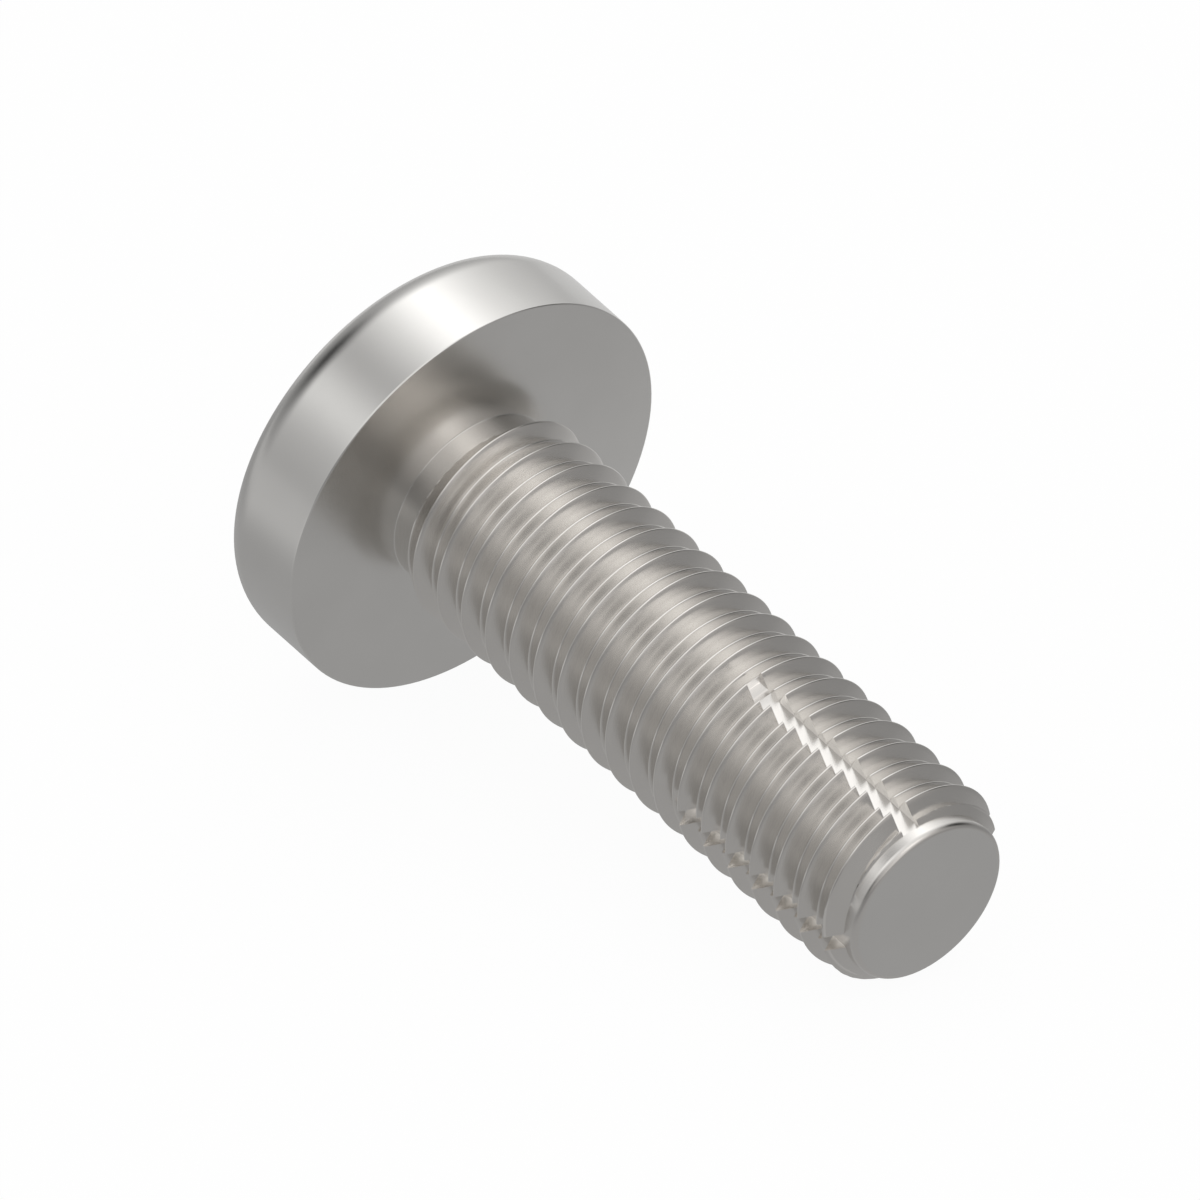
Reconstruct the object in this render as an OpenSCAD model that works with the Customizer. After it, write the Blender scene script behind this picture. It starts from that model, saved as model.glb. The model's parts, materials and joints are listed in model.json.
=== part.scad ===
// Pan head thread-cutting screw, 10-32 x 5/8 inch, cross recess, four cutting flutes.
// It lies on its side: the rim of the head and the thread near the tip touch the ground.
// Distances along the screw are measured from the underside of the head towards the tip.

/* [Head] */
// Diameter of the head, mm
head_d = 9.5; // [8.6:0.1:10.5]
// Height of the head at its middle, mm
head_h = 3.1; // [2.9:0.05:3.5]
// Height of the straight rim of the head, mm
rim_h = 1.81; // [1.6:0.01:1.95]
// Radius of the rounding between the rim and the dome, mm
rim_round = 0.37; // [0.25:0.01:0.45]

/* [Cross recess] */
// Width across the cross at the top, mm
recess_w = 5; // [4.4:0.1:5.4]
// Width of one slot of the cross, mm
slot_w = 0.9; // [0.7:0.05:1.1]
// Depth of the recess below the top of the dome, mm
recess_depth = 2; // [1.6:0.05:2.2]

/* [Shank] */
// Length from the underside of the head to the tip, mm
shank_length = 15.1; // [13:0.05:18]
// Outside diameter of the thread, mm
thread_d = 4.75; // [4.6:0.05:5]
// Diameter of the plain neck under the head, mm
neck_d = 4.05; // [3.9:0.01:4.1]
// Length of the neck before the thread rises, mm
neck_length = 0.5; // [0.35:0.01:0.7]
// Length of the plain band at the tip, mm
tip_band = 0.35; // [0.3:0.01:0.45]
// Radius of the rounding at the edge of the tip, mm
tip_round = 0.15; // [0.08:0.01:0.2]

/* [Thread] */
// Distance from one turn of the high ridge to the next, mm
pitch = 0.794; // [0.75:0.001:0.82]
// How much lower the second ridge stands than the first, mm
ridge_step = 0.183; // [0.15:0.001:0.21]
// Angle between the two flanks of a ridge, degrees
thread_angle = 60; // [58:0.5:63]
// Place of a crest of the high ridge at the start of its turn, mm
thread_start = 0.728; // [0.6:0.001:0.79]

/* [Flutes] */
// Number of cutting flutes
flute_count = 4; // [3:1:4]
// Width of a flute, mm
flute_w = 0.41; // [0.35:0.01:0.5]
// Distance of the flat floor of a flute from the axis, mm
flute_floor = 1.9; // [1.8:0.01:1.91]
// Length of a flute at its full depth, from the tip, mm
flute_length = 4.82; // [3:0.01:6]
// Radius of the cutter, which shapes the end of a flute, mm
cutter_r = 1.25; // [1:0.05:1.6]
// Angle of the first flute from the start of the turn, degrees
flute_turn = 63.4; // [50:0.1:75]

/* [Resting place] */
// Turn of the screw about its own axis as it lies, degrees
roll = 129.7; // [128:0.1:132]

/* [Hidden] */
$fn = 96;

head_r = head_d / 2;
thread_r = thread_d / 2;
low_r = thread_r - ridge_step;
neck_r = neck_d / 2;

// dome that runs tangent into the rounding of the rim
edge_r = head_r - rim_round;
edge_drop = head_h - rim_h;
dome_r = (edge_r * edge_r + edge_drop * edge_drop - rim_round * rim_round) / (2 * (edge_drop - rim_round));
dome_angle = asin(edge_r / (dome_r - rim_round));

// rise of a flank for each millimetre along the axis, and the valley beside a crest
flank = 1 / tan(thread_angle / 2);
valley = (pitch / 2 + ridge_step / flank) / 2;
root_r = thread_r - valley * flank;
thread_end = shank_length - tip_band;

// columns of points around the shank, each with its angle, its side of a flute, whether it
// follows the floor, and the middle of its flute
fill_count = 12;
wall_angle = asin(flute_w / 2 / thread_r);
wall_draft = 0.02;
fill_step = (360 / flute_count - 2 * wall_angle) / (fill_count + 1);
columns = [
    for (flute = [0 : flute_count - 1])
        let (middle = flute_turn + flute * 360 / flute_count)
        each [
            [middle - wall_angle, -1, false, middle],
            [middle - wall_angle, -1, true, middle],
            [middle + wall_angle, 1, true, middle],
            [middle + wall_angle, 1, false, middle],
            for (k = [1 : fill_count]) [middle + wall_angle + k * fill_step, 0, false, middle]
        ]
];
column_count = len(columns);
first_angle = columns[0][0];

// rows of points along the shank, four to a turn: valley, crest, valley and low crest
row_part = [-valley / pitch, 0, valley / pitch, 0.5];
hidden_depth = 0.2;
crest_before = thread_start + pitch * first_angle / 360;
start_turns = ceil((crest_before - valley) / pitch) + 1;
first_crest = crest_before - start_turns * pitch;
turn_count = ceil((thread_end + valley - first_crest) / pitch);
last_row = 4 * turn_count;
squeeze_start = 0.75 * hidden_depth / (valley - first_crest);
squeeze_end = 0.8 * (tip_band - tip_round) / (first_crest + (turn_count + 1) * pitch - thread_end);

// resting place: the rim of the head and the lowest crest near the tip touch the ground
lowest_part = (360 - roll) / 360;
full_end = thread_end - (thread_r - root_r) / flank;
rest_turns = floor((full_end - thread_start) / pitch - lowest_part);
rest_length = thread_start + (rest_turns + lowest_part) * pitch;
tilt = atan((head_r - thread_r) / rest_length);
x_high = shank_length * cos(tilt) + (root_r - tip_round) * sin(tilt);
x_low = (dome_r - head_h) * cos(tilt) - dome_r;

// distance along the axis to the nearest crest of a ridge
function crest_gap(z, crest) = abs((z - crest) / pitch - round((z - crest) / pitch)) * pitch;

// radius of the two ridges at the place z and the angle a
function ridge_radius(z, a) =
    let (crest = thread_start + pitch * a / 360)
    max(thread_r - crest_gap(z, crest) * flank, low_r - crest_gap(z, crest + pitch / 2) * flank);

// outline of the shank: neck, rising cone, full diameter, falling cone, band at the tip
function outline_radius(z) =
    z <= neck_length ? neck_r
    : z >= thread_end ? root_r
    : min(thread_r, neck_r + (z - neck_length) * flank, root_r + (thread_end - z) * flank);

function shank_radius(z, a) =
    z <= neck_length ? neck_r : min(ridge_radius(z, a), outline_radius(z));

// distance of the flute floor from the axis, with the arc of the cutter at its end
function floor_distance(z) =
    let (back = shank_length - flute_length - z)
    z >= thread_end || back >= cutter_r ? head_r
    : back <= 0 ? flute_floor
    : flute_floor + cutter_r - sqrt(cutter_r * cutter_r - back * back);

// rows that would leave the thread are drawn together inside the head and on the band
function row_place(i, a) =
    let (z = first_crest + pitch * (floor(i / 4) + row_part[i % 4] + (a - first_angle) / 360))
    z < 0 ? z * squeeze_start
    : z > thread_end ? thread_end + (z - thread_end) * squeeze_end
    : z;

function column_point(c, z, r) =
    let (side = c[1] * (flute_w / 2 - (c[2] ? wall_draft : 0)))
    let (along = sqrt(r * r - side * side))
    let (reach = c[2] ? min(along, floor_distance(z)) : along)
    c[1] == 0
        ? [r * cos(c[0]), r * sin(c[0]), z]
        : [reach * cos(c[3]) - side * sin(c[3]), reach * sin(c[3]) + side * cos(c[3]), z];

function row_point(c, i) =
    let (z = row_place(i, c[0]))
    column_point(c, z, shank_radius(z, c[0]));

// number of a point: row 0 to last_row of a column, then the ring in the head and the tip rings
tip_angles = [0, 30, 60, 90];
per_column = last_row + 2 + len(tip_angles);
function at(j, i) = j * per_column + i;
function ring_at(j) = at(j, last_row + 1);
function tip_at(j, k) = at(j, last_row + 2 + k);

module shank() {
    points = [
        for (c = columns) each [
            for (i = [0 : last_row]) row_point(c, i),
            column_point(c, -hidden_depth, neck_r),
            for (b = tip_angles)
                column_point(c, shank_length - tip_round * (1 - sin(b)), root_r - tip_round * (1 - cos(b)))
        ]
    ];
    last = column_count - 1;
    faces = [
        // sides between neighbouring columns
        for (j = [0 : last - 1]) each [
            for (i = [0 : last_row - 1]) each [
                [at(j, i), at(j, i + 1), at(j + 1, i + 1)],
                [at(j, i), at(j + 1, i + 1), at(j + 1, i)]
            ],
            [ring_at(j), at(j, 0), at(j + 1, 0)],
            [ring_at(j), at(j + 1, 0), ring_at(j + 1)],
            [at(j, last_row), tip_at(j, 0), tip_at(j + 1, 0)],
            [at(j, last_row), tip_at(j + 1, 0), at(j + 1, last_row)]
        ],
        // the last column meets the first one a full turn, or four rows, further on
        for (i = [0 : last_row - 5]) each [
            [at(last, i), at(last, i + 1), at(0, i + 5)],
            [at(last, i), at(0, i + 5), at(0, i + 4)]
        ],
        for (i = [0 : 3]) each [
            [at(last, 0), at(0, i + 1), at(0, i)],
            [at(0, last_row), at(last, last_row - 4 + i), at(last, last_row - 3 + i)]
        ],
        [at(last, 0), at(0, 0), ring_at(0)],
        [at(last, 0), ring_at(0), ring_at(last)],
        [at(0, last_row), at(last, last_row), tip_at(last, 0)],
        [at(0, last_row), tip_at(last, 0), tip_at(0, 0)],
        // rounded edge of the tip
        for (j = [0 : last], k = [0 : len(tip_angles) - 2])
            let (n = (j + 1) % column_count)
            each [
                [tip_at(j, k), tip_at(j, k + 1), tip_at(n, k + 1)],
                [tip_at(j, k), tip_at(n, k + 1), tip_at(n, k)]
            ],
        // end in the head and end face
        [for (j = [0 : last]) ring_at(j)],
        [for (j = [last : -1 : 0]) tip_at(j, len(tip_angles) - 1)]
    ];
    polyhedron(points, faces, convexity = 10);
}

// half outline of the head, turned about the axis: the top of the dome is at x = 0
module head_outline() {
    square([head_r, rim_h]);
    translate([edge_r, rim_h]) circle(rim_round);
    square([edge_r, rim_h + rim_round * cos(dome_angle)]);
    intersection() {
        translate([0, head_h - dome_r]) circle(dome_r, $fn = 360);
        square([edge_r + rim_round * sin(dome_angle), head_h + 1]);
    }
}

module head() {
    mirror([0, 0, 1]) rotate_extrude() intersection() {
        head_outline();
        square([head_r, head_h]);
    }
}

// cross recess: four slots with sloping ends around a tapered middle
module recess() {
    slope = tan(26.5);
    over = 0.5;
    translate([0, 0, -head_h - over]) {
        intersection() {
            cylinder(
                h = recess_depth + over,
                r1 = recess_w / 2 + over * slope,
                r2 = recess_w / 2 - recess_depth * slope
            );
            union() for (turn = [0, 90])
                rotate([0, 0, turn]) translate([-recess_w, -slot_w / 2, -1])
                    cube([2 * recess_w, slot_w, recess_depth + over + 2]);
        }
        cylinder(h = recess_depth + over, r1 = 1.5, r2 = slot_w / 2 + 0.1);
    }
}

module screw() {
    color([0.72, 0.72, 0.7])
        translate([-(x_high + x_low) / 2, 0, head_r * cos(tilt)])
            rotate([0, 90 + tilt, 0]) rotate([0, 0, roll]) {
                difference() {
                    head();
                    recess();
                }
                shank();
            }
}

screw();
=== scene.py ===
# Pan head thread-cutting screw, lying on its side on a pale studio floor
import math
import json

import bpy
import bmesh
import numpy as np
from mathutils import Matrix, Vector


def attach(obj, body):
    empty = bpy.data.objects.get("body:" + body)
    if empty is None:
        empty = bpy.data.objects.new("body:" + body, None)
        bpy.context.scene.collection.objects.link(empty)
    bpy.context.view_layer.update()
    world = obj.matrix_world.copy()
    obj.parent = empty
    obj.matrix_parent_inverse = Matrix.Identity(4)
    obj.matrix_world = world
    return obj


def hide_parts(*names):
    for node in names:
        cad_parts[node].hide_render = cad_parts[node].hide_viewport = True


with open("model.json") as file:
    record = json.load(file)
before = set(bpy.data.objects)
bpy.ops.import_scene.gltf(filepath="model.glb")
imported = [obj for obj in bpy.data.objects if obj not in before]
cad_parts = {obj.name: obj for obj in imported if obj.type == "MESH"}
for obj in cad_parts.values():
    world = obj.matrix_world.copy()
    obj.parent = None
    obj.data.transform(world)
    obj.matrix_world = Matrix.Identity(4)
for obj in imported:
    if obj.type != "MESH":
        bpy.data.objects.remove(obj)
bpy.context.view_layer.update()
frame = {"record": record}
mm = 0.001
print("frame loaded")


# placing: the screw's own axis runs from the head to the tip, +Z in its own space

place = {
    "roll": 129.7,  # turn about its own axis as it lies, degrees
}

mounts = {m["name"]: m for m in frame["record"]["mounts"]}
axis = Vector(mounts["thread"]["axis"]).normalized()
tipPoint = Vector(mounts["thread"]["pos_m"])


def screwMatrix(length):
    tilt = math.asin(-axis.z)
    roll = Matrix.Rotation(math.radians(place["roll"]), 4, "Z")
    turn = Matrix.Rotation(math.radians(90) + tilt, 4, "Y") @ roll
    return Matrix.Translation(tipPoint - axis * length * mm) @ turn


# screw: head, neck, thread with two ridges, flutes and tip as one skin of rings

screw = {  # millimetres and degrees
    "headD": 9.5,
    "headH": 3.1,
    "rimH": 1.58,
    "rimRound": 0.82,
    "rimEdge": 0.03,
    "underhead": (4.2, 3.4, 2.7),  # radii of the plain rings under the head
    "evenFrom": 4.5,  # the columns are evenly spaced over the head, down to this radius
    "neckD": 4.05,
    "neckFillet": 0.02,
    "neckLength": 0.5,
    "length": 15.1,
    "threadD": 4.75,
    "pitch": 0.794,
    "ridgeStep": 0.183,  # how much lower the second ridge is
    "threadStart": 0.728,
    "flank": 62,
    "crestRound": 0.028,
    "valleyRound": 0.006,
    "flankParts": (5, 4),  # rows on the flanks of the high and of the low ridge
    "cone": 60,
    "blend": 0.012,  # how softly the ridges run out of the cones at both ends of the thread
    "fadeIn": 0.25,  # lengths made of plain rings at both ends of the thread
    "fadeOut": 0.3,
    "fadeInRings": 24,
    "fadeOutRings": 26,
    "gap": 0.01,  # between those rings and the rows along the thread
    "squeeze": 0.008,  # what the rows beyond the thread are drawn together to
    "spare": 0.25,  # rows beyond the thread
    "margin": 0.3,
    "tipBand": 0.35,
    "tipRound": 0.15,
    "tipFace": (1.2, 0.5),  # radii of the plain rings on the tip
    "beside": 0.02,  # from a rounding to the plain ring beside it
    "headSteps": 22,
    "edgeSteps": 5,
    "tipSteps": 8,
    "flutes": 4,
    "fluteW": 0.41,
    "fluteFloor": 1.92,
    "fluteLength": 4.82,
    "cutterR": 1.25,
    "fluteTurn": 63.4,
    "acrossFlute": (-1, -0.35, 0.35, 1),
    "columnsBetween": 26,
}


def domeRadius():
    s = screw
    edge = s["headD"] / 2 - s["rimRound"]
    drop = s["headH"] - s["rimH"]
    return (edge ** 2 + drop ** 2 - s["rimRound"] ** 2) / (2 * (drop - s["rimRound"]))


def threadProfile():
    # one pitch of the rounded two-ridge profile: distance from the high crest, radius
    s = screw
    lean = math.radians(s["flank"])
    slope = math.tan(lean)
    high = s["threadD"] / 2
    low = high - s["ridgeStep"]
    long, short = s["flankParts"]
    valley = (s["pitch"] / 2 + s["ridgeStep"] / slope) / 2
    root = high + s["crestRound"] * (1 / math.cos(lean) - 1) - valley * slope
    rows = []

    def crest(middle, top):
        for part in (-1, -0.5, 0, 0.5, 1):
            a = part * lean
            drop = s["crestRound"] * (1 - math.cos(a))
            rows.append((middle + s["crestRound"] * math.sin(a), top - drop))

    def fillet(middle):
        for part in (-1, 0, 1):
            a = part * lean
            lift = s["valleyRound"] * (1 / math.cos(lean) - math.cos(a))
            rows.append((middle + s["valleyRound"] * math.sin(a), root + lift))

    def flank(parts):
        start = rows[-1]
        return lambda end: [
            (start[0] + (end[0] - start[0]) * k / parts, start[1] + (end[1] - start[1]) * k / parts)
            for k in range(1, parts)
        ]

    def joined(parts, nextShape, *args):
        at = len(rows)
        between = flank(parts)
        nextShape(*args)
        rows[at:at] = between(rows[at])

    fillet(-valley)
    joined(long, crest, 0, high)
    joined(long, fillet, valley)
    joined(short, crest, s["pitch"] / 2, low)
    end = (s["pitch"] - valley - s["valleyRound"] * math.sin(lean), rows[0][1])
    rows.extend(flank(short)(end))
    return rows, root


def outlineRadius(z, root):
    # neck, rising cone, full diameter, falling cone, band at the tip
    s = screw
    slope = math.tan(math.radians(s["cone"]))
    end = s["length"] - s["tipBand"]
    if z <= s["neckLength"]:
        return s["neckD"] / 2
    if z >= end:
        return root
    return min(s["neckD"] / 2 + (z - s["neckLength"]) * slope, root + (end - z) * slope)


def softMin(a, b):
    # the smaller of two radii, rounded where they are close
    k = screw["blend"]
    gap = max(0, k - abs(a - b)) / k
    return min(a, b) - gap * gap * k / 4


def surfaceRadius(z, angle, profile, root):
    # radius of the uncut thread at a height and an angle
    s = screw
    if z <= s["neckLength"]:
        return s["neckD"] / 2
    first = profile[0][0]
    along = (z - s["threadStart"] - s["pitch"] * angle / 360 - first) % s["pitch"] + first
    places = [row[0] for row in profile] + [first + s["pitch"]]
    radii = [row[1] for row in profile] + [profile[0][1]]
    ridge = np.interp(along, places, radii)
    return softMin(float(ridge), outlineRadius(z, root))


def floorDistance(z):
    # from the axis to the floor of a flute, which the round cutter leaves in an arc
    s = screw
    back = s["length"] - s["fluteLength"] - z
    if z >= s["length"] - s["tipBand"] or back >= s["cutterR"]:
        return math.inf
    if back <= 0:
        return s["fluteFloor"]
    return s["fluteFloor"] + s["cutterR"] - math.sqrt(s["cutterR"] ** 2 - back ** 2)


def screwColumns():
    # angle, side offset, on the floor of a flute, middle of the flute
    s = screw
    wall = math.degrees(math.asin(s["fluteW"] / s["threadD"]))
    step = (360 / s["flutes"] - 2 * wall) / (s["columnsBetween"] + 1)
    half = s["fluteW"] / 2
    columns = []
    for f in range(s["flutes"]):
        middle = s["fluteTurn"] + f * 360 / s["flutes"]
        columns.append((middle - wall, -half, False, middle))
        for part in s["acrossFlute"]:
            columns.append((middle + part * wall, part * half, True, middle))
        columns.append((middle + wall, half, False, middle))
        for k in range(s["columnsBetween"]):
            columns.append((middle + wall + (k + 1) * step, None, False, middle))
    return columns


def columnPoint(column, z, r):
    angle, side, onFloor, middle = column
    if side is None:
        a = math.radians(angle)
        return (r * math.cos(a), r * math.sin(a), z)
    along = math.sqrt(r * r - side * side)
    if onFloor:
        along = min(along, floorDistance(z))
    a = math.radians(middle)
    return (along * math.cos(a) - side * math.sin(a), along * math.sin(a) + side * math.cos(a), z)


def ringAngle(column):
    angle, side, onFloor, middle = column
    if side is None:
        return math.radians(angle)
    return math.radians(middle) + math.asin(side / (screw["neckD"] / 2))


def headRings():
    # rings from the middle of the dome to the neck: distance along the axis, radius
    s = screw
    big = domeRadius()
    rho = s["rimRound"]
    edge = s["rimEdge"]
    fillet = s["neckFillet"]
    rim = s["headD"] / 2
    neck = s["neckD"] / 2
    top = math.asin((rim - rho) / (big - rho))
    rings = []
    for k in range(1, s["headSteps"]):
        a = top * k / s["headSteps"]
        rings.append((big * (1 - math.cos(a)) - s["headH"], big * math.sin(a)))
    for k in range(s["headSteps"] + 1):
        a = top + (math.pi / 2 - top) * k / s["headSteps"]
        rings.append((-s["rimH"] - rho * math.cos(a), rim - rho + rho * math.sin(a)))
    rings.append((-s["rimH"] + 2 * s["beside"], rim))
    rings.append((-edge - s["beside"], rim))
    for k in range(s["edgeSteps"] + 1):
        a = math.pi / 2 * k / s["edgeSteps"]
        rings.append((-edge + edge * math.sin(a), rim - edge + edge * math.cos(a)))
    rings.append((0, rim - edge - s["beside"]))
    rings += [(0, r) for r in s["underhead"]]
    rings.append((0, neck + fillet + s["beside"]))
    for k in range(s["edgeSteps"] + 1):
        a = math.pi / 2 * k / s["edgeSteps"]
        rings.append((fillet - fillet * math.cos(a), neck + fillet - fillet * math.sin(a)))
    return rings


def tipRings(root):
    # band, rounding and flat face of the tip
    s = screw
    rho = s["tipRound"]
    rings = [(s["length"] - rho - s["beside"] / 4, root)]
    for k in range(s["tipSteps"] + 1):
        a = math.pi / 2 * k / s["tipSteps"]
        rings.append((s["length"] - rho * (1 - math.sin(a)), root - rho * (1 - math.cos(a))))
    rings.append((s["length"], root - rho - s["beside"]))
    return rings + [(s["length"], r) for r in s["tipFace"]]


def screwMesh():
    s = screw
    profile, root = threadProfile()
    perTurn = len(profile)
    columns = screwColumns()
    count = len(columns)
    firstAngle = columns[0][0]
    end = s["length"] - s["tipBand"]
    firstEnd = s["neckLength"] + s["fadeIn"] + s["gap"]  # beyond both ends the skin is plain rings
    lastEnd = end - s["fadeOut"]
    crest = s["threadStart"] + s["pitch"] * firstAngle / 360
    crest -= s["pitch"] * (math.ceil((crest - firstEnd + s["spare"]) / s["pitch"]) + 1)
    turns = math.ceil((lastEnd + s["spare"] - crest) / s["pitch"])
    rows = turns * perTurn
    lowest = crest - s["margin"]
    highest = crest + (turns + 1) * s["pitch"] + s["margin"]

    points = []
    for z, r in headRings():
        even = z < 0 or r > s["evenFrom"]
        for j, column in enumerate(columns):
            a = math.radians(firstAngle + 360 * j / count) if even else ringAngle(column)
            points.append((r * math.cos(a), r * math.sin(a), z))
    fadeIn = [s["fadeIn"] * k / s["fadeInRings"] for k in range(s["fadeInRings"] + 1)]
    for z in [s["neckLength"] + rise for rise in [-s["squeeze"] / 2] + fadeIn]:
        points += [columnPoint(c, z, surfaceRadius(z, c[0], profile, root)) for c in columns]
    threadAt = len(points)
    for i in range(rows + 1):
        dz, r = profile[i % perTurn]
        for c in columns:
            z = crest + s["pitch"] * (i // perTurn + (c[0] - firstAngle) / 360) + dz
            if z < firstEnd:  # rows outside the thread are drawn together at its ends
                z = firstEnd - s["squeeze"] * (firstEnd - z) / (firstEnd - lowest)
            elif z > lastEnd:
                z = lastEnd + s["squeeze"] * (z - lastEnd) / (highest - lastEnd)
            points.append(columnPoint(c, z, surfaceRadius(z, c[0], profile, root)))
    tipAt = len(points)
    for k in range(s["fadeOutRings"] + 1):
        z = lastEnd + s["gap"] + (end - lastEnd - s["gap"]) * k / s["fadeOutRings"]
        points += [columnPoint(c, z, surfaceRadius(z, c[0], profile, root)) for c in columns]
    for z, r in tipRings(root):
        if r in s["tipFace"]:
            points += [(r * math.cos(ringAngle(c)), r * math.sin(ringAngle(c)), z) for c in columns]
        else:
            points += [columnPoint(c, z, r) for c in columns]
    domeMiddle = len(points)
    tipMiddle = domeMiddle + 1
    points += [(0, 0, -s["headH"]), (0, 0, s["length"])]

    faces = []

    def ringSides(start, number):
        for k in range(number - 1):
            a = start + k * count
            b = a + count
            for j in range(count):
                n = (j + 1) % count
                faces.append((a + j, a + n, b + n, b + j))

    def row(i, j):
        return threadAt + i * count + j

    headCount = threadAt // count
    tipCount = (domeMiddle - tipAt) // count
    ringSides(0, headCount)
    ringSides(tipAt, tipCount)
    lastRing = (headCount - 1) * count
    for i in range(rows):
        for j in range(count - 1):
            faces.append((row(i, j), row(i, j + 1), row(i + 1, j + 1), row(i + 1, j)))
    for j in range(count - 1):
        faces.append((lastRing + j, lastRing + j + 1, row(0, j + 1), row(0, j)))
        faces.append((row(rows, j), row(rows, j + 1), tipAt + j + 1, tipAt + j))
    last = count - 1
    for i in range(rows - perTurn):  # the last column meets the first one a turn further on
        faces.append((row(i, last), row(i + perTurn, 0), row(i + perTurn + 1, 0), row(i + 1, last)))
    for i in range(perTurn):
        faces.append((row(0, last), row(i, 0), row(i + 1, 0)))
        faces.append((row(rows, 0), row(rows - perTurn + i + 1, last), row(rows - perTurn + i, last)))
    faces.append((lastRing + last, lastRing, row(0, 0), row(0, last)))
    faces.append((row(rows, last), row(rows, 0), tipAt, tipAt + last))
    for j in range(count):
        n = (j + 1) % count
        lastTip = tipAt + (tipCount - 1) * count
        faces.append((domeMiddle, n, j))
        faces.append((lastTip + j, lastTip + n, tipMiddle))

    mesh = bpy.data.meshes.new("screwBody")
    mesh.from_pydata([(x * mm, y * mm, z * mm) for x, y, z in points], [], faces)
    return mesh


recess = {  # cross recess, millimetres and degrees
    "across": 5.0,
    "slot": 0.9,
    "slotTaper": 0.06,  # how much narrower each side of a slot is at full depth
    "endSlope": 26.5,
    "middle": 1.25,
    "middleLeft": 0.05,  # what is left of the round middle beside the slots at full depth
    "levels": (-0.6, 0.0, 0.5, 1.0, 1.5, 1.85, 2.0),  # depths of the loops
    "shrinkFrom": 1.7,
    "shrink": 0.1,  # share by which the lowest loop is drawn in
    "point": 0.25,
    "sideParts": 3,
    "arcParts": 9,
}


def recessOutline(depth):
    # cross with rounded inner corners, as radius over angle
    r = recess
    part = max(0, depth) / r["levels"][-1]
    reach = r["across"] / 2 - depth * math.tan(math.radians(r["endSlope"]))
    half = r["slot"] / 2 - r["slotTaper"] * part
    middle = r["middle"] - (r["middle"] - half - r["middleLeft"]) * part
    outline = []
    for k in range(4):
        turn = math.radians(90 * k)
        corner = math.atan2(half, reach)
        inner = math.asin(min(0.99, half / middle))
        for a in (-corner, -corner / 2, 0, corner / 2, corner):
            outline.append((turn + a, reach / math.cos(a)))
        for m in range(1, r["sideParts"] + 1):
            a = corner + (inner - corner) * m / r["sideParts"]
            outline.append((turn + a, half / math.sin(a)))
        for m in range(1, r["arcParts"]):
            a = inner + (math.pi / 2 - 2 * inner) * m / r["arcParts"]
            outline.append((turn + a, middle))
        for m in range(r["sideParts"]):
            a = inner + (corner - inner) * m / r["sideParts"]
            outline.append((turn + math.pi / 2 - a, half / math.sin(a)))
    return outline


def recessMesh():
    r = recess
    levels = r["levels"]
    bm = bmesh.new()
    loops = []
    for depth in levels:
        shrink = 1 - r["shrink"] * max(0, (depth - r["shrinkFrom"]) / (levels[-1] - r["shrinkFrom"]))
        z = -screw["headH"] + depth
        loops.append([
            bm.verts.new((q * shrink * math.cos(a) * mm, q * shrink * math.sin(a) * mm, z * mm))
            for a, q in recessOutline(depth)
        ])
    for lower, upper in zip(loops, loops[1:]):
        n = len(lower)
        for k in range(n):
            bm.faces.new((lower[k], lower[(k + 1) % n], upper[(k + 1) % n], upper[k]))
    for loop, depth in ((loops[0], levels[0]), (loops[-1], levels[-1] + r["point"])):
        middle = bm.verts.new((0, 0, (depth - screw["headH"]) * mm))
        for k in range(len(loop)):
            bm.faces.new((loop[k], loop[(k + 1) % len(loop)], middle))
    bmesh.ops.recalc_face_normals(bm, faces=bm.faces)
    mesh = bpy.data.meshes.new("recessCutter")
    bm.to_mesh(mesh)
    bm.free()
    return mesh


finish = {
    "weld": 1e-8,  # metres, joins the points of the flutes' edges outside the flutes
    "sharp": 38,  # edges sharper than this stay sharp, degrees
    "normalWeight": 50,
}


def applyModifiers(obj):
    graph = bpy.context.evaluated_depsgraph_get()
    mesh = bpy.data.meshes.new_from_object(obj.evaluated_get(graph))
    obj.modifiers.clear()
    obj.data = mesh


def buildScrew():
    body = bpy.data.objects.new("screwBody", screwMesh())
    bpy.context.scene.collection.objects.link(body)
    bm = bmesh.new()
    bm.from_mesh(body.data)
    bmesh.ops.remove_doubles(bm, verts=bm.verts, dist=finish["weld"])
    bmesh.ops.recalc_face_normals(bm, faces=bm.faces)
    bm.to_mesh(body.data)
    bm.free()

    cutter = bpy.data.objects.new("recessCutter", recessMesh())
    bpy.context.scene.collection.objects.link(cutter)
    cut = body.modifiers.new("recess", "BOOLEAN")
    cut.operation = "DIFFERENCE"
    cut.object = cutter
    cut.solver = "EXACT"
    applyModifiers(body)
    bpy.data.objects.remove(cutter)

    body.data.shade_smooth()
    body.data.set_sharp_from_angle(angle=math.radians(finish["sharp"]))
    weigh = body.modifiers.new("normals", "WEIGHTED_NORMAL")
    weigh.keep_sharp = True
    weigh.weight = finish["normalWeight"]
    applyModifiers(body)

    # each point keeps its own place on the screw for the material, then the screw is laid down
    own = body.data.attributes.new("own", "FLOAT_VECTOR", "POINT")
    places = np.empty(3 * len(body.data.vertices), np.float32)
    body.data.vertices.foreach_get("co", places)
    own.data.foreach_set("vector", places)
    body.data.transform(screwMatrix(screw["length"]))
    return body


# steel: satin stainless

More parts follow.
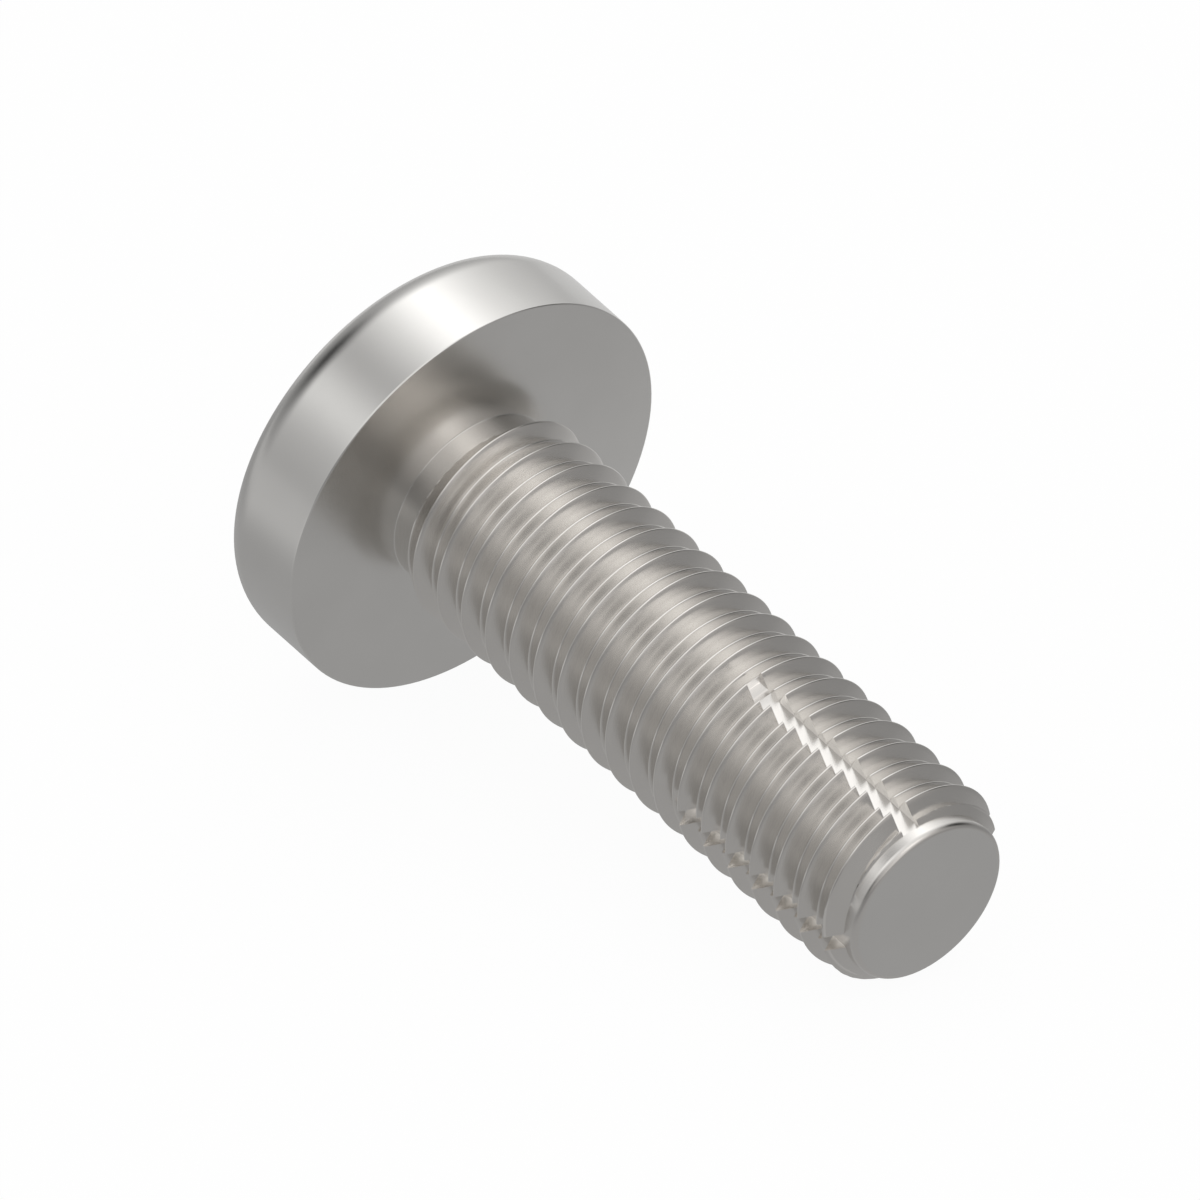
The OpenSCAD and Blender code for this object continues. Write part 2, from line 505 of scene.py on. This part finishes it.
steel = {
    "color": (0.66, 0.65, 0.631),
    "darker": (0.648, 0.638, 0.619),
    "mottleSize": 1.6,  # mm
    "mottleNoise": (2.0, 0.5),  # detail and roughness of the noise
    "mottleEdge": (0.35, 0.65),
    "shankTint": (1.003, 0.99, 0.98),  # the rolled shank is slightly warmer than the turned head
    "shankFrom": 0.01,  # mm
    "tipFaceFrom": 0.005,  # mm before the tip
    "inMetal": 1.12,  # painted light: how much brighter the metal is coloured where other metal mirrors it
    "inNarrow": 0.4,  # painted light added to that on the floors of the flutes and in narrow gaps
    "narrowFrom": 3,  # number of mirrorings which makes a gap narrow
    "cutReach": 0.016,  # how far the painted bright floor of a flute goes up its walls, mm
    "wearSheenTint": 1.1,  # rubbed crests and edges are lighter, wear with a painted highlight on it
    "wearSheenWidth": 0.022,  # mm to each side of a crest
    "wearSheenCore": 0.2,  # share of that width which is lightened in full
    "crestFrom": 2.12,  # both crests lie outside this radius, mm
    "wearSheenRim": 0.4,  # the edge of the rim is lightened less
    "rimZ": (-0.05, -0.005),  # mm
    "rimRadius": (4.7, 4.74),  # mm
    "polish": 0.14,  # how much smoother the rubbed crests and edges are
    "roughness": 0.26,
    "roughnessSpread": 0.04,
    "turningPitch": 0.045,  # distance between the fine turning lines, mm
    "turningStretch": 0.6,  # how fast the lines change around the axis
    "turningNoise": (2.0, 0.6),
    "turningDepth": 0.0002,  # mm
    "grainSize": 0.09,  # mm
    "grainNoise": (3.0, 0.65),
    "grainDepth": 0.0003,  # mm
}


def node(tree, kind, **values):
    made = tree.nodes.new(kind)
    for name, value in values.items():
        setattr(made, name, value)
    return made


def plug(tree, value, socket):
    if isinstance(value, bpy.types.NodeSocket):
        tree.links.new(value, socket)
    else:
        socket.default_value = value


def calc(tree, operation, *values):
    made = node(tree, "ShaderNodeMath", operation=operation)
    for k, value in enumerate(values):
        plug(tree, value, made.inputs[k])
    return made.outputs[0]


def noise(tree, vector, size, detail, rough):
    made = node(tree, "ShaderNodeTexNoise")
    tree.links.new(vector, made.inputs["Vector"])
    made.inputs["Scale"].default_value = 1 / (size * mm)
    made.inputs["Detail"].default_value = detail
    made.inputs["Roughness"].default_value = rough
    return made.outputs["Fac"]


def steps(tree, value, low, high, start=0.0, end=1.0):
    made = node(tree, "ShaderNodeMapRange", interpolation_type="SMOOTHSTEP")
    plug(tree, value, made.inputs["Value"])
    plug(tree, low, made.inputs["From Min"])
    plug(tree, high, made.inputs["From Max"])
    plug(tree, start, made.inputs["To Min"])
    plug(tree, end, made.inputs["To Max"])
    return made.outputs["Result"]


def ramp(tree, value, ends):
    # from 0 at the first end to 1 at the second, whichever is lower
    if ends[0] < ends[1]:
        return steps(tree, value, ends[0], ends[1])
    return steps(tree, value, ends[1], ends[0], 1.0, 0.0)


def steelMaterial():
    s = steel
    material = bpy.data.materials.new("satinStainless")
    material.use_nodes = True
    tree = material.node_tree
    tree.nodes.clear()
    out = node(tree, "ShaderNodeOutputMaterial")
    shader = node(tree, "ShaderNodeBsdfPrincipled")
    tree.links.new(shader.outputs["BSDF"], out.inputs["Surface"])
    shader.inputs["Metallic"].default_value = 1

    # point on the screw: distance from its axis, angle around it and height along it
    point = node(tree, "ShaderNodeAttribute", attribute_name="own").outputs["Vector"]
    parts = node(tree, "ShaderNodeSeparateXYZ")
    tree.links.new(point, parts.inputs[0])
    x, y, z = parts.outputs
    radius = calc(tree, "SQRT", calc(tree, "MULTIPLY_ADD", x, x, calc(tree, "MULTIPLY", y, y)))
    angle = calc(tree, "ARCTAN2", y, x)

    # turning lines: fine across the radius and the height, long around the axis
    stretch = s["turningPitch"] * s["turningStretch"] * mm
    turned = node(tree, "ShaderNodeCombineXYZ")
    tree.links.new(radius, turned.inputs[0])
    tree.links.new(z, turned.inputs[1])
    tree.links.new(calc(tree, "MULTIPLY", angle, stretch), turned.inputs[2])
    lines = noise(tree, turned.outputs[0], s["turningPitch"], *s["turningNoise"])
    grain = noise(tree, point, s["grainSize"], *s["grainNoise"])
    mottle = noise(tree, point, s["mottleSize"], *s["mottleNoise"])

    # rubbed places with a painted highlight: the crests of both ridges and the edge of the rim
    shank = calc(tree, "GREATER_THAN", z, s["shankFrom"] * mm)
    half = screw["pitch"] / 2
    width = s["wearSheenWidth"] / half
    ahead = calc(tree, "MULTIPLY_ADD", z, 1 / (half * mm), 0.5 - screw["threadStart"] / half)
    ahead = calc(tree, "FRACT", calc(tree, "MULTIPLY_ADD", angle, -1 / math.pi, ahead))
    away = calc(tree, "ABSOLUTE", calc(tree, "SUBTRACT", ahead, 0.5))
    crest = steps(tree, away, s["wearSheenCore"] * width, width, 1.0, 0.0)
    crest = calc(tree, "MULTIPLY", crest, calc(tree, "GREATER_THAN", radius, s["crestFrom"] * mm))
    crest = calc(tree, "MULTIPLY", crest, shank)
    rimZ = steps(tree, z, s["rimZ"][0] * mm, s["rimZ"][1] * mm)
    rimRadius = steps(tree, radius, s["rimRadius"][0] * mm, s["rimRadius"][1] * mm)
    rim = calc(tree, "MULTIPLY", calc(tree, "MULTIPLY", rimZ, rimRadius), s["wearSheenRim"])
    wornAndSheen = calc(tree, "MAXIMUM", crest, rim)

    # floors of the cut flutes, the only part of the shank with so small a radius, painted bright
    # where metal mirrors them
    cut = calc(tree, "LESS_THAN", radius, (screw["fluteFloor"] + s["cutReach"]) * mm)
    beforeBand = calc(tree, "LESS_THAN", z, (screw["length"] - screw["tipBand"]) * mm)
    cut = calc(tree, "MULTIPLY", calc(tree, "MULTIPLY", cut, beforeBand), shank)

    # colour: a soft mottle, and a warmer tone on the sides of the shank
    tone = node(tree, "ShaderNodeMix", data_type="RGBA")
    tree.links.new(steps(tree, mottle, *s["mottleEdge"]), tone.inputs["Factor"])
    tone.inputs["A"].default_value = (*s["darker"], 1)
    tone.inputs["B"].default_value = (*s["color"], 1)
    beforeFace = calc(tree, "LESS_THAN", z, (screw["length"] - s["tipFaceFrom"]) * mm)
    tinted = node(tree, "ShaderNodeMix", data_type="RGBA", blend_type="MULTIPLY")
    tree.links.new(calc(tree, "MULTIPLY", shank, beforeFace), tinted.inputs["Factor"])
    tree.links.new(tone.outputs["Result"], tinted.inputs["A"])
    tinted.inputs["B"].default_value = (*s["shankTint"], 1)

    # lighter where rubbed, with a painted highlight, and painted light where metal mirrors metal,
    # more in the flutes and narrow gaps
    ray = node(tree, "ShaderNodeLightPath").outputs
    mirrored = calc(tree, "MULTIPLY_ADD", ray["Is Glossy Ray"], s["inMetal"] - 1, 1.0)
    narrow = calc(tree, "GREATER_THAN", ray["Glossy Depth"], s["narrowFrom"] - 0.5)
    narrow = calc(tree, "MAXIMUM", narrow, calc(tree, "MULTIPLY", ray["Is Glossy Ray"], cut))
    mirrored = calc(tree, "MULTIPLY_ADD", narrow, s["inNarrow"], mirrored)
    # painted highlight and wear: the crests and the rim edge are coloured lighter
    lighter = calc(tree, "MULTIPLY_ADD", wornAndSheen, s["wearSheenTint"] - 1, 1.0)
    lighter = calc(tree, "MULTIPLY", lighter, mirrored)
    color = node(tree, "ShaderNodeVectorMath", operation="SCALE")
    tree.links.new(tinted.outputs["Result"], color.inputs[0])
    tree.links.new(lighter, color.inputs["Scale"])
    tree.links.new(color.outputs[0], shader.inputs["Base Color"])

    spread = s["roughnessSpread"]
    rough = calc(tree, "MULTIPLY_ADD", grain, spread, s["roughness"] - spread / 2)
    rough = calc(tree, "MULTIPLY_ADD", wornAndSheen, -s["polish"], rough)
    tree.links.new(rough, shader.inputs["Roughness"])

    height = calc(tree, "MULTIPLY", lines, s["turningDepth"] * mm)
    height = calc(tree, "MULTIPLY_ADD", grain, s["grainDepth"] * mm, height)
    bump = node(tree, "ShaderNodeBump")
    bump.inputs["Strength"].default_value = 1
    bump.inputs["Distance"].default_value = 1
    tree.links.new(height, bump.inputs["Height"])
    tree.links.new(bump.outputs["Normal"], shader.inputs["Normal"])
    return material


body = buildScrew()
body.data.materials.clear()
body.data.materials.append(steelMaterial())
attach(body, "root")
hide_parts("screw")
print("screw built:", len(body.data.polygons), "faces")


# camera: the axis of the screw as the photograph shows it, right, up and towards the camera

photo = {
    "axis": (0.6224, -0.5535, 0.5534),
    "underHead": (471.29, 496.26),  # middle of the underside, pixels
    "pixelsPerMm": 48.66,
    "size": 1200,
    "distance": 0.2,  # metres
    "clip": (0.001, 10),
}


def direction(azimuth, elevation):
    level = math.cos(elevation)
    return Vector((level * math.cos(azimuth), level * math.sin(azimuth), math.sin(elevation)))


def addCamera():
    right, up, near = photo["axis"]
    reach = math.hypot(up, near)
    elevation = math.asin(axis.z / reach) + math.atan2(-up, near)
    level = near * math.cos(elevation) - up * math.sin(elevation)
    azimuth = math.atan2(-right, level)
    towards = direction(azimuth, elevation)
    side = Vector((-math.sin(azimuth), math.cos(azimuth), 0))
    above = towards.cross(side)
    scale = mm / photo["pixelsPerMm"]
    underHead = tipPoint - axis * screw["length"] * mm
    dx = (photo["size"] / 2 - photo["underHead"][0]) * scale
    dy = (photo["underHead"][1] - photo["size"] / 2) * scale
    target = underHead + side * dx + above * dy
    data = bpy.data.cameras.new("camera")
    data.type = "ORTHO"
    data.ortho_scale = photo["size"] * scale
    data.clip_start, data.clip_end = photo["clip"]
    camera = bpy.data.objects.new("camera", data)
    bpy.context.scene.collection.objects.link(camera)
    turn = Matrix((side, above, towards)).transposed().to_4x4()
    camera.matrix_world = Matrix.Translation(target + towards * photo["distance"]) @ turn
    bpy.context.scene.camera = camera
    angles = [round(math.degrees(a), 2) for a in (azimuth, elevation)]
    print("camera at azimuth and elevation", *angles)


addCamera()


# floor and light

studio = {
    "floorColor": (0.97, 0.97, 0.97),
    "floorSize": 3.0,
    "floorRoughness": 0.9,
    "floorShare": 0.96,  # the rest of the floor's brightness is its own light and shadow
    "seen": 0.46,  # how bright metal sees the floor, a painted shade that dims it near the screw
    # painted brighter and darker patches of that in the metal's reflections: added brightness, then
    # where it sets in along X and along Y
    "parts": {
        "back": (-0.06, (-0.016, -0.026), None),
        "leftBack": (0.23, (0.03, 0.0), (-0.009, -0.018)),
        "rightBack": (0.33, (0.0, -0.01), (0.0, 0.012)),
        "right": (-0.12, (0.0, 0.01), (0.006, 0.014)),
        "front": (-0.2, (-0.005, 0.012), (-0.004, -0.012)),
    },
    "warm": (1.0, 0.98, 0.965),  # colour of the light from the side of the tip
    "warmFrom": (0.1, 0.8),  # share of the direction's X at which it sets in and is full
    "sky": 0.39,
    "skyRise": 0.63,
    # soft boxes and dark flags: azimuth, elevation and half width in degrees, strength
    "lights": {
        "key": (145, 58, 13, 0.95),
        "backTop": (105, 66, 12, 0.35),
        "backRight": (122, 36, 10, 0.25),
        "rimRight": (122, 12, 12, 0.2),
        "front": (3, 45, 11, 0.95),
        "frontLow": (-10, 12, 14, 0.45),
        "left": (-95, 48, 14, 0.55),
        "leftLow": (-115, 5, 14, 0.1),
        "leftBack": (-125, 37, 8, 0.4),
        "flagGap": (-140, 55, 9, -0.36),
        "flagLeftBack": (-165, 35, 18, -0.78),
        "zenith": (0, 80, 12, 0.1),
        "flagRight": (70, 28, 16, -0.85),
        "flagNear": (-72, 20, 14, -0.5),
    },
}


def addFloor():
    half = studio["floorSize"] / 2
    mesh = bpy.data.meshes.new("floor")
    corners = [(-half, -half, 0), (half, -half, 0), (half, half, 0), (-half, half, 0)]
    mesh.from_pydata(corners, [], [(0, 1, 2, 3)])
    floor = bpy.data.objects.new("floor", mesh)
    bpy.context.scene.collection.objects.link(floor)
    material = bpy.data.materials.new("paleFloor")
    material.use_nodes = True
    tree = material.node_tree
    shader = tree.nodes["Principled BSDF"]
    shader.inputs["Base Color"].default_value = (*studio["floorColor"], 1)
    shader.inputs["Roughness"].default_value = studio["floorRoughness"]
    shader.inputs["Specular IOR Level"].default_value = 0

    # the camera sees the floor white with a faint shadow; metal sees it glowing at the brightness set
    # above, with painted shade and painted patches in place of its real light
    ray = node(tree, "ShaderNodeLightPath").outputs
    inMetal = calc(tree, "MAXIMUM", ray["Is Glossy Ray"], ray["Is Transmission Ray"])
    inCamera = calc(tree, "MULTIPLY", ray["Is Camera Ray"], studio["floorShare"])
    share = calc(tree, "MAXIMUM", inMetal, inCamera)
    spot = node(tree, "ShaderNodeSeparateXYZ")
    tree.links.new(node(tree, "ShaderNodeNewGeometry").outputs["Position"], spot.inputs[0])
    glow = studio["seen"]
    for strength, alongX, alongY in studio["parts"].values():
        part = ramp(tree, spot.outputs[0], alongX)
        if alongY:
            part = calc(tree, "MULTIPLY", part, ramp(tree, spot.outputs[1], alongY))
        glow = calc(tree, "MULTIPLY_ADD", part, strength, glow)
    # painted shade and patches: for metal the floor glows at these strengths
    glow = calc(tree, "MULTIPLY_ADD", calc(tree, "SUBTRACT", glow, 1.0), inMetal, 1.0)
    white = node(tree, "ShaderNodeEmission")
    tree.links.new(glow, white.inputs["Strength"])
    mixed = node(tree, "ShaderNodeMixShader")
    tree.links.new(share, mixed.inputs["Fac"])
    tree.links.new(shader.outputs["BSDF"], mixed.inputs[1])
    tree.links.new(white.outputs["Emission"], mixed.inputs[2])
    tree.links.new(mixed.outputs["Shader"], tree.nodes["Material Output"].inputs["Surface"])
    mesh.materials.append(material)


def addWorld():
    world = bpy.data.worlds.new("studio")
    bpy.context.scene.world = world
    world.use_nodes = True
    tree = world.node_tree
    way = node(tree, "ShaderNodeTexCoord").outputs["Generated"]
    parts = node(tree, "ShaderNodeSeparateXYZ")
    tree.links.new(way, parts.inputs[0])
    rise = calc(tree, "MAXIMUM", parts.outputs[2], 0.0)
    total = calc(tree, "MULTIPLY_ADD", rise, studio["skyRise"], studio["sky"])
    for azimuth, elevation, halfWidth, strength in studio["lights"].values():
        sharpness = math.log(2) / (1 - math.cos(math.radians(halfWidth)))
        facing = node(tree, "ShaderNodeVectorMath", operation="DOT_PRODUCT")
        tree.links.new(way, facing.inputs[0])
        facing.inputs[1].default_value = direction(math.radians(azimuth), math.radians(elevation))
        soft = calc(tree, "MULTIPLY_ADD", facing.outputs["Value"], sharpness, -sharpness)
        total = calc(tree, "MULTIPLY_ADD", calc(tree, "EXPONENT", soft), strength, total)
    background = tree.nodes["Background"]
    tint = node(tree, "ShaderNodeMix", data_type="RGBA")
    tree.links.new(steps(tree, parts.outputs[0], *studio["warmFrom"]), tint.inputs["Factor"])
    tint.inputs["A"].default_value = (1, 1, 1, 1)
    tint.inputs["B"].default_value = (*studio["warm"], 1)
    tree.links.new(tint.outputs["Result"], background.inputs["Color"])
    tree.links.new(calc(tree, "MAXIMUM", total, 0.0), background.inputs["Strength"])


addFloor()
addWorld()
bpy.context.scene.view_settings.view_transform = "Standard"
print("studio built")
